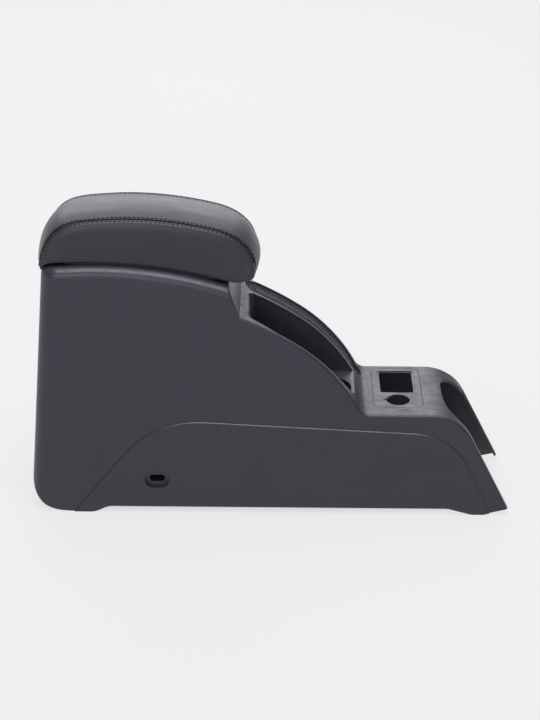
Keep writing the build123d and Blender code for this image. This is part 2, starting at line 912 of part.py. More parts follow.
def hinge_lid_leaf():
    axis_x, axis_z = hinge_axis()
    high_z = arc_z(axis_x, lid_gap + leaf_thickness)
    upstand = Pos(axis_x, 0, (axis_z + high_z) / 2) * Box(leaf_thickness, hinge_width, high_z - axis_z)
    layer = under_arch(lid_gap + leaf_thickness) - under_arch(lid_gap)
    low_x = axis_x - leaf_thickness / 2
    high_x = lid_leaf_front_x()
    plan = Pos((low_x + high_x) / 2, 0) * Rectangle(high_x - low_x, hinge_width)
    strap = layer & upright(plan, axis_z, above_box)
    upright_part = upstand & under_arch(lid_gap + leaf_thickness)
    leaf = leaf_with_knuckles(strap + upright_part, knuckle_spans(1), knuckle_spans(0))
    for spot in lid_leaf_screw_spots():
        leaf -= spot * screw_hole()
    return leaf


def hinge_pin():
    half = hinge_width / 2
    pin = along_axis(pin_radius, -half, half)
    for side in (-1, 1):
        ends = sorted((side * half, side * (half + pin_head_length)))
        pin += along_axis(pin_head_radius, ends[0], ends[1])
    return pin


def screws(spots):
    return [spot * countersunk_screw() for spot in spots]


pieces = {
    "console_shell": console_shell(),
    "storage_bin": storage_bin(),
    "bin_screws": screws(bin_screw_spots()),
    "pocket_tub": pocket_tub(),
    "switch_plate": switch_plate(),
    "handbrake_gaiter": handbrake_gaiter(),
    "gaiter_frame": gaiter_frame(),
    "hinge_body_leaf": hinge_body_leaf(),
    "hinge_pin": hinge_pin(),
    "hinge_body_screws": screws(body_leaf_screw_spots()),
    "hinge_lid_leaf": hinge_lid_leaf(),
    "hinge_lid_screws": screws(lid_leaf_screw_spots()),
    "lid_pan": lid_pan(),
    "lid_foam": lid_foam(),
    "lid_cover": lid_cover(),
    "lid_liner": lid_liner(),
    "lid_liner_screws": screws(liner_screw_spots()),
    "lid_bumpers": lid_bumpers(),
}

os.makedirs("parts", exist_ok=True)
for name, piece in pieces.items():
    shape = Compound(children=piece) if isinstance(piece, list) else piece
    export_step(shape, f"parts/{name}.step")
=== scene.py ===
"""Looks of a car centre armrest console: its stitched leather lid, its moulded plastic and a pale studio."""
import math

import bmesh
import bpy
import numpy as np
from mathutils import Matrix, Vector, noise
from mathutils.bvhtree import BVHTree


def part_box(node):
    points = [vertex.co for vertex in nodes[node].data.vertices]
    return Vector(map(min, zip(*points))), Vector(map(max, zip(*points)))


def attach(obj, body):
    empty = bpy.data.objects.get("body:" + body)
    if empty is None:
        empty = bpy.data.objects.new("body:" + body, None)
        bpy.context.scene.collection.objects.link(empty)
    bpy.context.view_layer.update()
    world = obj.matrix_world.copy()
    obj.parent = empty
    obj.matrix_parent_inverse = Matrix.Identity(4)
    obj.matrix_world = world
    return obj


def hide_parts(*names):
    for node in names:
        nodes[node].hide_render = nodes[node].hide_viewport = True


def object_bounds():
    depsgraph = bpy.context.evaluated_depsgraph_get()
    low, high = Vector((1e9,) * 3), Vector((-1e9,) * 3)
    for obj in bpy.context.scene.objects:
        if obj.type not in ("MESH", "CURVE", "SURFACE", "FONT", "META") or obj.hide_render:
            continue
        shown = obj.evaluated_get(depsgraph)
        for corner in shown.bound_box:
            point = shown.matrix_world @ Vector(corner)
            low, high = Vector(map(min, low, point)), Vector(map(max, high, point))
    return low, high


MM = 0.001
SIDES = (-1, 1)

# Seams of the leather cover: where they lie across the lid, and what lies how far from them
SEAM_Y = 43.6 * MM
RETURN_Y = 37.8 * MM
SEAM_FLANK = 1.0 * MM
STITCH_ROW = 3.9 * MM
SEAM_BLEND = 5.1 * MM
SEAM_DEPTH = 1.6 * MM
FLANK_SHARE = 0.2
STITCH_DEPTH = 0.35 * MM
# Radius of the dark cord laid along each seam groove: painted shade for the groove
SEAM_SHADE_CORD = 0.6 * MM

# Section of the cover: dome, shoulder, side and lower edge
DOME_DROP = 1.5 * MM
SHOULDER = 8.0 * MM
SHOULDER_DROP = 16.0 * MM
SHOULDER_SHARE = 0.45
SIDE_STITCH_TURN = 0.42
SIDE_BLEND_TURN = 0.62
SIDE_BULGE = 1.4 * MM
EDGE_RADIUS = 3.5 * MM
EDGE_SHARE = 0.25
EDGE_SAG = 2.3 * MM
TURN_UP = 1.6 * MM

# Rear lip of the cover, which steps up over the hinge
LIP_REACH = 15.7 * MM
LIP_THICKNESS = 1.2 * MM
LIP_ROUNDING = 0.8 * MM
LIP_MARGIN = 2.0 * MM
NOTCH_MARGIN = 2.5 * MM

# Rays that measure the rigid cover: where they start, and the steps of a search for an edge
RAY_START = 0.1
RAY_STEP = 0.1 * MM
PAST_LIP = 1.0 * MM
ARCH_START = 0.2 * MM
LINER_MARGIN = 0.5 * MM
NOSE_START = 0.2
NOSE_STEP = 0.002
NOSE_UNDERCUT = -0.2
TIP_SHARE = 0.999

# Mesh of the cover, and the stations at its ends over which padding and seams run out
STATIONS = 100
LAST = STATIONS - 1
SAMPLES = 4 * STATIONS
HALF_STATION = 0.5 / STATIONS
TOP_COLUMNS = 16
SHOULDER_STEPS = 6
SIDE_ROWS = 12
EDGE_STEPS = 3
STITCH_COLUMN = 2
SEAM_END = 1
STITCHED_END = 3
END_FADE = 6
WELD = 0.05 * MM

# Padding: the cover starts a little small, swells and creases
COVER_INSET = 1.8 * MM
PRESSURE = 4.0
SIM_FRAMES = 20
SWELL_CAP = 2.6 * MM
WRINKLE = 0.32 * MM
WRINKLE_WAVES = Vector((14, 75, 20))

# Thread along both seams
STITCH_PITCH = 5.2 * MM
STITCH_LENGTH = 3.5 * MM
STITCH_RADIUS = 0.52 * MM
STITCH_RISE = 0.3 * MM
STITCH_TAPER = 0.9
STITCH_DIP = 1.4
STITCH_SIDES = 6
STITCH_RINGS = 5

# Moulded plastic: cells of its patterns in millimetres, and how far colour and roughness stray
DRIFT_CELL = 60
DRIFT = 0.06
SCUFF_CELL = 9
SCUFF = 0.05
WEAR_CELL = 13
WEAR = 0.14
PEBBLE_SCALE = 1.6

# Colours
CHARCOAL = (0.0155, 0.0150, 0.0255)
BIN_BLACK = (0.016, 0.016, 0.018)
# Pocket tub: its own black plastic, made a little darker than the shell as painted shade for the pocket's
# deep inside
TUB_SHADED_BLACK = (0.014, 0.014, 0.019)
FRAME_BLACK = (0.018, 0.018, 0.02)
LID_BLACK = (0.02, 0.02, 0.022)
GAITER_BLACK = (0.012, 0.012, 0.016)
BUMPER_BLACK = (0.016, 0.016, 0.016)
LEATHER_BLACK = (0.0125, 0.0120, 0.0180)
# Black of the real thread, also used for the seam cords that paint the seam grooves' shade
THREAD_AND_SEAM_SHADE_BLACK = (0.005, 0.005, 0.006)
PIN_STEEL = (0.16, 0.16, 0.165)
SCREW_STEEL = (0.05, 0.05, 0.055)

# Studio: a light table with a painted shadow where the console covers it, and softboxes with place, width,
# height and power
FLOOR_HALF = 30
FLOOR_CLOUD = 900
FLOOR_SHADES = (0.08, 0.084)
FLOOR_GLOW = 0.70
# Painted shadow under the console: the floor's glow is cut away this far inside its footprint and comes back
# over the fade
PAINTED_SHADOW_MARGIN = 34 * MM
PAINTED_SHADOW_FADE = 0.024
WORLD_COLOUR = (0.93, 0.95, 1.0, 1)
WORLD_STRENGTH = 0.35
COOL_LIGHT = (0.94, 0.96, 1.0)
LIGHT_TARGET = Vector((0, 0, 0.2))
SOFTBOXES = {
    "back_softbox": ((-0.3, 2.4, 1.5), 2.8, 1.8, 46),
    "top_softbox": ((0, 0.3, 2.6), 2.6, 2.0, 38),
    "front_fill": ((-0.8, -3.2, 1.4), 2.6, 1.6, 40),
    "edge_light": ((0, -1.0, 2.8), 2.4, 0.9, 66),
}

# Camera: the photograph's angle, with the lens given for a picture 540 wide and 720 high
CAMERA_TARGET = Vector((-1.8 * MM, -3.4 * MM, 172.5 * MM))
CAMERA_DISTANCE = 2.379
CAMERA_AZIMUTH = 0.0
CAMERA_ELEVATION = 25.35
CAMERA_ROLL = 0.5
CAMERA_LENS = 97.5
CAMERA_REACH = 100

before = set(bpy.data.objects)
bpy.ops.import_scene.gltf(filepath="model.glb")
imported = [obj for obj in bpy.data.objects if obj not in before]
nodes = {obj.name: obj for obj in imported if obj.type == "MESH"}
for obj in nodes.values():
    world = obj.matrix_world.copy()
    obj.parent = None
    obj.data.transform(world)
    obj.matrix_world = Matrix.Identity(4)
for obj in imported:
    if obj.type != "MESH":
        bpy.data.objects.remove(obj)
cad_low, cad_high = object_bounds()


# Materials
def new_material(name):
    """Empty material with its tree, its shader and the object coordinates that its patterns build on."""
    mat = bpy.data.materials.new(name)
    mat.use_nodes = True
    tree = mat.node_tree
    place = tree.nodes.new("ShaderNodeTexCoord")
    return mat, tree, tree.nodes["Principled BSDF"], place.outputs["Object"]


def noise_node(tree, place, cell_mm, detail, stretch=(1, 1, 1)):
    """Noise with cells of a size in millimetres, stretched along the axes."""
    mapping = tree.nodes.new("ShaderNodeMapping")
    mapping.inputs["Scale"].default_value = [1 / (cell_mm * MM * s) for s in stretch]
    tree.links.new(place, mapping.inputs["Vector"])
    node = tree.nodes.new("ShaderNodeTexNoise")
    node.inputs["Scale"].default_value = 1.0
    node.inputs["Detail"].default_value = detail
    tree.links.new(mapping.outputs["Vector"], node.inputs["Vector"])
    return node.outputs["Fac"]


def cell_node(tree, place, cell_mm, feature="F1"):
    """Pebbled cells of a size in millimetres."""
    node = tree.nodes.new("ShaderNodeTexVoronoi")
    node.feature = feature
    node.inputs["Scale"].default_value = 1 / (cell_mm * MM)
    tree.links.new(place, node.inputs["Vector"])
    return node.outputs["Distance"]


def ramp(tree, source, low, high, start=0.3, end=0.7):
    """Colour or grey value that runs from low to high as the source passes from start to end."""
    node = tree.nodes.new("ShaderNodeValToRGB")
    for element, value, spot in zip(node.color_ramp.elements, (low, high), (start, end)):
        element.position = spot
        element.color = (*value, 1) if hasattr(value, "__len__") else (value, value, value, 1)
    tree.links.new(source, node.inputs["Fac"])
    return node.outputs["Color"]


def add(tree, first, second, weight):
    """Sum of one source and a weighted second one."""
    node = tree.nodes.new("ShaderNodeMath")
    node.operation = "MULTIPLY_ADD"
    tree.links.new(second, node.inputs[0])
    node.inputs[1].default_value = weight
    tree.links.new(first, node.inputs[2])
    return node.outputs["Value"]


def bump(tree, shader, height, depth_mm):
    """Relief of a depth in millimetres on the shader's normal."""
    node = tree.nodes.new("ShaderNodeBump")
    node.inputs["Strength"].default_value = 1.0
    node.inputs["Distance"].default_value = depth_mm * MM
    tree.links.new(height, node.inputs["Height"])
    tree.links.new(node.outputs["Normal"], shader.inputs["Normal"])


def upward_patches(tree, place, cell_mm):
    """Patches on the faces that look up, where dust and hands leave marks, and none on upright walls."""
    facing = tree.nodes.new("ShaderNodeSeparateXYZ")
    tree.links.new(tree.nodes.new("ShaderNodeTexCoord").outputs["Normal"], facing.inputs["Vector"])
    patches = noise_node(tree, place, cell_mm, detail=5)
    node = tree.nodes.new("ShaderNodeMath")
    node.operation = "MULTIPLY"
    tree.links.new(ramp(tree, facing.outputs["Z"], 0.0, 1.0, start=0.5, end=0.95), node.inputs[0])
    tree.links.new(ramp(tree, patches, 0.0, 1.0, start=0.35), node.inputs[1])
    return node.outputs["Value"]


def shade(colour, factor):
    """Lighter or darker colour."""
    return tuple(c * factor for c in colour)


def moulded_plastic(name, colour, roughness, grain_mm, depth_mm=0.03):
    """Moulded plastic: fine grain, a drift of colour, rubbed streaks and worn patches on upper faces."""
    mat, tree, shader, place = new_material(name)
    cloud = noise_node(tree, place, DRIFT_CELL, detail=2)
    drifted = ramp(tree, cloud, shade(colour, 1 - DRIFT), shade(colour, 1 + DRIFT))
    tree.links.new(drifted, shader.inputs["Base Color"])
    streaks = noise_node(tree, place, SCUFF_CELL, detail=4, stretch=(1.6, 1, 1))
    rubbed = ramp(tree, streaks, roughness - SCUFF, roughness + SCUFF)
    worn = upward_patches(tree, place, WEAR_CELL)
    tree.links.new(add(tree, rubbed, worn, WEAR), shader.inputs["Roughness"])
    fine = noise_node(tree, place, grain_mm, detail=2)
    pebbles = cell_node(tree, place, PEBBLE_SCALE * grain_mm)
    bump(tree, shader, add(tree, fine, pebbles, 0.6), depth_mm)
    shader.inputs["Specular IOR Level"].default_value = 0.5
    return mat


def leather(name, colour, roughness):
    """Coated leather: small pebbles with creases between them, and duller patches where it is handled."""
    mat, tree, shader, place = new_material(name)
    cloud = noise_node(tree, place, cell_mm=35, detail=3)
    tree.links.new(ramp(tree, cloud, shade(colour, 0.88), shade(colour, 1.1)), shader.inputs["Base Color"])
    rub = noise_node(tree, place, cell_mm=18, detail=4, stretch=(2.5, 1, 1))
    tree.links.new(ramp(tree, rub, roughness - 0.05, roughness + 0.05), shader.inputs["Roughness"])
    pebbles = cell_node(tree, place, cell_mm=1.1, feature="SMOOTH_F1")
    creases = noise_node(tree, place, cell_mm=2.6, detail=4)
    bump(tree, shader, add(tree, creases, pebbles, -0.8), depth_mm=0.10)
    shader.inputs["Specular IOR Level"].default_value = 0.42
    shader.inputs["Sheen Weight"].default_value = 0.08
    shader.inputs["Sheen Roughness"].default_value = 0.5
    return mat


def felt(name, colour):
    """Pressed felt: short fibres that cross, and a soft sheen."""
    mat, tree, shader, place = new_material(name)
    fibres = noise_node(tree, place, cell_mm=0.9, detail=6, stretch=(3, 1, 1))
    crossing = noise_node(tree, place, cell_mm=0.9, detail=6, stretch=(1, 3, 1))
    both = add(tree, fibres, crossing, 1.0)
    speckled = ramp(tree, both, shade(colour, 0.6), shade(colour, 1.6), start=0.7, end=1.0)
    tree.links.new(speckled, shader.inputs["Base Color"])
    shader.inputs["Roughness"].default_value = 0.95
    shader.inputs["Sheen Weight"].default_value = 0.3
    bump(tree, shader, both, depth_mm=0.25)
    return mat


def rubber(name, colour, roughness):
    """Soft rubber: matt, with a chalky bloom in patches."""
    mat, tree, shader, place = new_material(name)
    bloom = noise_node(tree, place, cell_mm=14, detail=5)
    tree.links.new(ramp(tree, bloom, shade(colour, 0.8), shade(colour, 1.35)), shader.inputs["Base Color"])
    tree.links.new(ramp(tree, bloom, roughness, roughness + 0.15), shader.inputs["Roughness"])
    bump(tree, shader, noise_node(tree, place, cell_mm=0.5, detail=3), depth_mm=0.04)
    return mat


def metal(name, colour, roughness, metallic, brush_mm):
    """Drawn or painted steel: fine lines along the width."""
    mat, tree, shader, place = new_material(name)
    lines = noise_node(tree, place, brush_mm, detail=4, stretch=(1, 12, 1))
    tree.links.new(ramp(tree, lines, shade(colour, 0.8), shade(colour, 1.25)), shader.inputs["Base Color"])
    tree.links.new(ramp(tree, lines, roughness - 0.08, roughness + 0.1), shader.inputs["Roughness"])
    shader.inputs["Metallic"].default_value = metallic
    bump(tree, shader, lines, depth_mm=0.02)
    return mat


def thread(name, colour, twist_mm):
    """Twisted sewing thread."""
    mat, tree, shader, place = new_material(name)
    twist = tree.nodes.new("ShaderNodeTexWave")
    twist.inputs["Scale"].default_value = 1 / (twist_mm * MM)
    twist.bands_direction = "DIAGONAL"
    tree.links.new(place, twist.inputs["Vector"])
    strands = twist.outputs["Fac"]
    tree.links.new(ramp(tree, strands, shade(colour, 0.7), shade(colour, 1.3)), shader.inputs["Base Color"])
    shader.inputs["Roughness"].default_value = 0.85
    shader.inputs["Specular IOR Level"].default_value = 0.2
    bump(tree, shader, strands, depth_mm=0.08)
    return mat


finishes = {
    "console_shell": moulded_plastic("shell_plastic_look", CHARCOAL, 0.37, grain_mm=0.45, depth_mm=0.035),
    "switch_plate": moulded_plastic("plate_plastic_look", shade(CHARCOAL, 1.1), 0.36, grain_mm=0.45),
    "storage_bin": moulded_plastic("bin_plastic_look", BIN_BLACK, 0.5, grain_mm=0.6),
    "pocket_tub": moulded_plastic("tub_plastic_look", TUB_SHADED_BLACK, 0.5, grain_mm=0.5),
    "gaiter_frame": moulded_plastic("frame_plastic_look", FRAME_BLACK, 0.5, grain_mm=0.6),
    "lid_pan": moulded_plastic("pan_plastic_look", LID_BLACK, 0.5, grain_mm=0.6),
    "handbrake_gaiter": rubber("gaiter_rubber_look", GAITER_BLACK, 0.62),
    "lid_bumpers": rubber("bumper_rubber_look", BUMPER_BLACK, 0.6),
    "lid_liner": felt("liner_felt_look", LID_BLACK),
    "hinge_body_leaf": metal("hinge_paint_look", LID_BLACK, 0.42, metallic=0.0, brush_mm=0.5),
    "hinge_lid_leaf": metal("hinge_paint_lid_look", LID_BLACK, 0.42, metallic=0.0, brush_mm=0.5),
    "hinge_pin": metal("pin_steel_look", PIN_STEEL, 0.4, metallic=1.0, brush_mm=0.3),
}
screw_look = metal("screw_steel_look", SCREW_STEEL, 0.38, metallic=0.85, brush_mm=0.25)
finishes.update({name: screw_look for name in nodes if name.endswith("_screws")})
leather_look = leather("lid_leather_look", LEATHER_BLACK, 0.44)
# One look for the stitches' real thread and for the seam cords, which are painted shade in the grooves
thread_and_seam_shade_look = thread("lid_thread_and_seam_shade_look", THREAD_AND_SEAM_SHADE_BLACK, twist_mm=2.4)
for name, look in finishes.items():
    nodes[name].data.materials.clear()
    nodes[name].data.materials.append(look)


# Leather cover, measured off the rigid cover it stands for
class RigidCover:
    """Rays onto the skin of the rigid lid cover, which gives the leather its places."""

    def __init__(self):
        mesh = nodes["lid_cover"].data
        corners = [v.co.copy() for v in mesh.vertices]
        self.tree = BVHTree.FromPolygons(corners, [list(p.vertices) for p in mesh.polygons])
        self.low, self.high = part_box("lid_cover")
        self.side_y = self.high.y - EDGE_RADIUS
        self.box_front_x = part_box("lid_liner")[1].x + LINER_MARGIN
        pin_low, pin_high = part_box("hinge_pin")
        self.lip_x = (pin_low.x + pin_high.x) / 2 + LIP_REACH
        self.middle_x = (self.low.x + self.high.x) / 2
        self.arch_z = self.up_from_below(self.lip_x + PAST_LIP, self.side_y).z
        self.ends = {}
        self.feet = {}

    def cast(self, start, direction):
        """First point of the skin along a ray, or nothing."""
        return self.tree.ray_cast(Vector(start), Vector(direction))[0]

    def up_from_below(self, x, y):
        """Point of the underside above a place on the floor."""
        return self.cast((x, y, 0), (0, 0, 1))

    def dome(self, angle, y):
        """Outer skin and its normal at an angle round the lid's middle, in side view."""
        out = Vector((math.cos(angle), 0, math.sin(angle)))
        return self.tree.ray_cast(Vector((self.middle_x, y, self.arch_z)) + out, -out)

    def outside(self, z, y):
        """Outer face of the rear lip at one height, or nothing where the lip is cut away."""
        hit = self.cast((self.low.x - RAY_START, y, z), (1, 0, 0))
        return hit if hit and hit.x < self.lip_x - LIP_MARGIN else None

    def lip_foot(self, y):
        """Height of the rear lip's lower edge, which steps up over the hinge barrel."""
        key = round(abs(y), 5)
        if key not in self.feet:
            heights = []
            for place in (abs(y), max(0, abs(y) - NOTCH_MARGIN)):
                z = self.low.z
                while not self.outside(z, place):
                    z += RAY_STEP
                heights.append(z)
            self.feet[key] = max(heights) + LIP_ROUNDING
        return self.feet[key]

    def inside(self, share, y):
        """Inner face of the rear lip at a share of its height."""
        foot = self.lip_foot(y)
        z = foot + share * (self.arch_z - RAY_STEP - foot)
        outer = self.outside(z, y)
        hit = self.cast((self.lip_x + PAST_LIP, y, z), (-1, 0, 0))
        if not hit or hit.x < outer.x + LIP_THICKNESS:
            hit = outer + Vector((LIP_THICKNESS, 0, 0))
        return hit

    def angles(self, y):
        """Angles of the rear lip's foot and of the nose at one place across the lid."""
        key = round(abs(y), 5)
        if key not in self.ends:
            foot = self.outside(self.lip_foot(y), y)
            rear = math.atan2(foot.z - self.arch_z, foot.x - self.middle_x) % (2 * math.pi)
            nose = NOSE_START
            while self.dome(nose, y)[1].z > NOSE_UNDERCUT:
                nose -= NOSE_STEP
            self.ends[key] = (rear, nose + NOSE_STEP)
        return self.ends[key]

    def top(self, share, y):
        """Point of the top strip at a share of the way from the rear lip to the nose."""
        rear, nose = self.angles(y)
        point = self.dome(rear + share * (nose - rear), y)[0]
        return point - Vector((0, 0, DOME_DROP * math.sin(math.pi * share)))


def evenly(points, count):
    """Shares at which a polyline is cut into equal lengths."""
    steps = [0.0]
    for a, b in zip(points, points[1:]):
        steps.append(steps[-1] + (b - a).length)
    targets = np.linspace(0, steps[-1], count)
    return np.interp(targets, steps, np.linspace(0, 1, len(points)))


def end_fade(station):
    """Share of the padding and of the seams at a station: none at both ends and all of it further in."""
    share = min(1, min(station, LAST - station) / END_FADE)
    return share * share * (3 - 2 * share)


def lip_edge(outer, inner):
    """Lower edge of the rear lip, rounded off between its two faces."""
    return (outer + inner) / 2 - Vector((0, 0, LIP_ROUNDING))


class LeatherCover:
    """Grid of the cover: stations from the rear lip over the top to the nose, each with its columns."""

    def __init__(self):
        rigid = self.rigid = RigidCover()
        dense = [rigid.top(t, SEAM_Y) for t in np.linspace(0, 1, SAMPLES)]
        self.shares = evenly(dense, STATIONS)
        self.lip_shares = np.linspace(0, 1, STATIONS)
        lip_points = [rigid.inside(t, rigid.side_y) for t in self.lip_shares]
        steps = [(b - a).length for a, b in zip(lip_points, lip_points[1:])]
        self.lip_steps = np.concatenate([[0], np.cumsum(steps)])
        self.lengths = (
            float(self.lip_steps[-1]),
            rigid.box_front_x - rigid.lip_x,
            rigid.top(1, SEAM_Y).x - rigid.box_front_x,
        )
        self.inner_columns = list(np.linspace(0, RETURN_Y, TOP_COLUMNS // 2 + 1))
        flank = [SEAM_Y - SEAM_BLEND, SEAM_Y - STITCH_ROW, SEAM_Y - SEAM_FLANK, SEAM_Y]
        self.half_columns = self.inner_columns + flank
        self.under_columns = (self.inner_columns[-1:] + flank[:-1])[::-1]
        self.turns = [SEAM_FLANK / SHOULDER, SIDE_STITCH_TURN]
        self.turns += list(np.linspace(SIDE_BLEND_TURN, math.pi / 2, SHOULDER_STEPS - 2))
        self.mesh = bmesh.new()
        self.rows = []
        self.inner_rows = []
        self.turned = []
        for index in range(STATIONS):
            self.add_station(index)
        self.add_faces()

    def under_length(self, index):
        """Length along the underside at a station, from the foot of the rear lip."""
        return index / LAST * sum(self.lengths)

    def under(self, index, y):
        """Point of the underside at a station, and whether the cover is open there, as over the box."""
        rigid = self.rigid
        lip, arch, nose = self.lengths
        along = self.under_length(index)
        if along < lip:
            return rigid.inside(float(np.interp(along, self.lip_steps, self.lip_shares)), y), False
        if along < lip + arch:
            return rigid.up_from_below(rigid.lip_x + along - lip + ARCH_START, rigid.side_y), True
        share = (along - lip - arch) / nose
        tip = rigid.top(1, y)
        if share > TIP_SHARE:
            return tip, False
        x = rigid.box_front_x + share * (tip.x - rigid.box_front_x)
        return rigid.up_from_below(x, y), False

    def low_y(self, index):
        """Place across the lid where the underside is measured: its side, or nearer the seam on the nose."""
        lip, arch, nose = self.lengths
        share = max(0, (self.under_length(index) - lip - arch) / nose)
        return self.rigid.side_y + share**2 * (SEAM_Y - self.rigid.side_y)

    def sag(self, index):
        """How far the padded lower edge hangs below the underside at a station, most in its middle."""
        lip, arch, _ = self.lengths
        along = (self.under_length(index) - lip) / arch
        return EDGE_SAG * math.sqrt(math.sin(math.pi * min(1, max(0, along))))

    def top_point(self, index, y):
        """Point (y, x, z) of the top strip at a station."""
        point = self.rigid.top(self.shares[index], y)
        if index == 0:
            point = lip_edge(point, self.under(index, y)[0])
        return y, point.x, point.z

    def outward(self, index):
        """Direction straight out of the top strip at a station, in side view."""
        share = self.shares[index]
        behind = self.rigid.top(max(0, share - HALF_STATION), SEAM_Y)
        ahead = self.rigid.top(min(1, share + HALF_STATION), SEAM_Y)
        along = ahead - behind
        return Vector((-along.z, 0, along.x)).normalized()

    def section(self, index, low):
        """Points (y, x, z) of half a station, from the middle over top, shoulder and side to the hem."""
        seam = self.rigid.top(self.shares[index], SEAM_Y)
        top = Vector((seam.x, 0, seam.z))
        low = Vector((low.x, 0, low.z))
        if index == 0:
            top = low = lip_edge(top, low)
        thickness = (low - top).length
        down = (low - top).normalized() if thickness else Vector((0, 0, -1))
        filled = min(1, SHOULDER_SHARE * thickness / SHOULDER)
        shoulder = SHOULDER * (math.sqrt(1 - (1 - filled) ** 2) if index > STATIONS // 2 else filled)
        drop = min(SHOULDER_DROP, SHOULDER_SHARE * thickness)
        edge = min(EDGE_RADIUS, EDGE_SHARE * thickness)
        bulge = SIDE_BULGE * shoulder / SHOULDER
        half = [self.top_point(index, y) for y in self.half_columns]
        outward = self.outward(index)
        centre = top - outward * drop
        for turn in self.turns:
            point = centre + outward * drop * math.cos(turn)
            half.append((SEAM_Y + shoulder * math.sin(turn), point.x, point.z))
        sag = self.sag(index)
        foot = low - Vector((0, 0, sag)) - down * edge
        side_y = SEAM_Y + shoulder
        for t in np.linspace(0, 1, SIDE_ROWS + 1)[1:]:
            point = centre.lerp(foot, t)
            half.append((side_y + bulge * math.sin(math.pi / 2 * t), point.x, point.z))
        foot_y = side_y + bulge
        for turn in np.linspace(0, math.pi / 2, EDGE_STEPS + 1)[1:]:
            point = foot + down * edge * math.sin(turn)
            half.append((foot_y - edge * (1 - math.cos(turn)), point.x, point.z))
        return half + [self.hem_point(index, y, low, sag, foot_y - edge) for y in self.under_columns]

    def hem_point(self, index, y, low, sag, edge_y):
        """Point (y, x, z) of the hem, which runs in under the lid and closes at the nose's tip."""
        if index == LAST:
            tip = self.rigid.top(1, y)
            return y, tip.x, tip.z
        share = (y - RETURN_Y) / (SEAM_Y - RETURN_Y)
        return RETURN_Y + share * (edge_y - RETURN_Y), low.x, low.z - share * sag

    def inner_point(self, index, y):
        """Point (y, x, z) of the closed underside at a station."""
        point = self.under(index, y)[0]
        if index == 0:
            point = lip_edge(self.rigid.top(self.shares[index], y), point)
        return y, point.x, point.z

    def add_station(self, index):
        """Points of one station: both halves of its section, then its underside or its turned-up hem."""
        new = self.mesh.verts.new
        low, is_open = self.under(index, self.low_y(index))
        half = self.section(index, low)
        far = [new((x, y, z)) for y, x, z in half]
        near = [new((x, -y, z)) for y, x, z in half[1:]]
        self.rows.append(near[::-1] + far)
        inner = [] if is_open else [self.inner_point(index, y) for y in self.inner_columns[:-1]]
        mirrored = [new((x, -y, z)) for y, x, z in inner[:0:-1]]
        self.inner_rows.append(mirrored + [new((x, y, z)) for y, x, z in inner])
        hems = (near[-1], far[-1]) if is_open else ()
        self.turned.append([new(v.co + Vector((0, 0, TURN_UP))) for v in hems])

    def strip(self, first, second):
        """Row of faces between two lines of points."""
        for corners in zip(first, first[1:], second[1:], second):
            self.mesh.faces.new(corners)

    def add_faces(self):
        """Faces between each station and the next: outer skin, closed underside and turned-up hems."""
        stations = list(zip(self.rows, self.inner_rows, self.turned))
        for (here, inner_here, lift_here), (there, inner_there, lift_there) in zip(stations, stations[1:]):
            self.strip(here, there)
            if inner_here and inner_there:
                ring_here = [here[-1]] + inner_here[::-1] + [here[0]]
                ring_there = [there[-1]] + inner_there[::-1] + [there[0]]
                self.strip(ring_here, ring_there)
            if lift_here and lift_there:
                self.strip([lift_here[0], here[0]], [lift_there[0], there[0]])
                self.strip([here[-1], lift_here[1]], [there[-1], lift_there[1]])

    def column(self, offset_from_seam, side):
        """Number of the column at a step from the seam: 0 on it, -1 the next one on the top strip."""
        middle = len(self.rows[0]) // 2
        return middle + side * (len(self.half_columns) - 1 + offset_from_seam)

    def turn_outward(self):
        """Turns all the faces over where most of them look inward."""
        self.mesh.verts.index_update()
        self.mesh.normal_update()
        centre = Vector((self.rigid.middle_x, 0, self.rigid.arch_z))
        outward = sum(f.normal.dot(f.calc_center_median() - centre) > 0 for f in self.mesh.faces)
        if outward < len(self.mesh.faces) / 2:
            bmesh.ops.reverse_faces(self.mesh, faces=self.mesh.faces)
            self.mesh.normal_update()

    def held(self):
        """Numbers of the points that stay in place: seams, hems, underside and both ends."""
        hem = len(self.under_columns)
        columns = [self.column(0, side) for side in SIDES]
        columns += [c for k in range(hem) for c in (k, -1 - k)]
        points = [row[c] for row in self.rows for c in columns]
        for group in self.inner_rows + self.turned + [self.rows[0], self.rows[-1]]:
            points += group
        return {v.index for v in points}


def new_object(name, mesh, look, body):
    """Smooth object with its look, on a body of the part."""
    obj = bpy.data.objects.new(name, mesh)
    bpy.context.scene.collection.objects.link(obj)
    mesh.materials.append(look)
    mesh.shade_smooth()
    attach(obj, body)
    return obj


def swell(obj, pinned):
    """Blows the cover up a little between its held seams, with a limit on how far any point moves."""
    mesh = obj.data
    rest = np.array([v.co for v in mesh.vertices])
    group = obj.vertex_groups.new(name="held")
    group.add(pinned, 1.0, "REPLACE")
    cloth = obj.modifiers.new("swell", "CLOTH")
    settings = cloth.settings
    settings.vertex_group_mass = "held"
    settings.quality = 6
    settings.mass = 0.3
    settings.tension_stiffness = 25
    settings.compression_stiffness = 25
    settings.shear_stiffness = 10
    settings.bending_stiffness = 2.0
    settings.use_pressure = True
    settings.uniform_pressure_force = PRESSURE
    settings.effector_weights.gravity = 0
    scene = bpy.context.scene
    for step in range(1, SIM_FRAMES + 1):
        scene.frame_set(step)
    shaped = obj.evaluated_get(bpy.context.evaluated_depsgraph_get())
    moved = np.array([v.co for v in shaped.data.vertices])
    obj.modifiers.remove(cloth)
    scene.frame_set(1)
    shift = moved - rest
    reach = np.linalg.norm(shift, axis=1, keepdims=True)
    shift *= np.minimum(1, SWELL_CAP / np.maximum(reach, 1e-9))
    mesh.vertices.foreach_set("co", (rest + shift).ravel())
    mesh.update()


def wrinkle(point, normal):
    """Height of the faint creases that run along the top strip."""
    return WRINKLE * noise.noise(point * WRINKLE_WAVES) * max(0.0, normal.z)


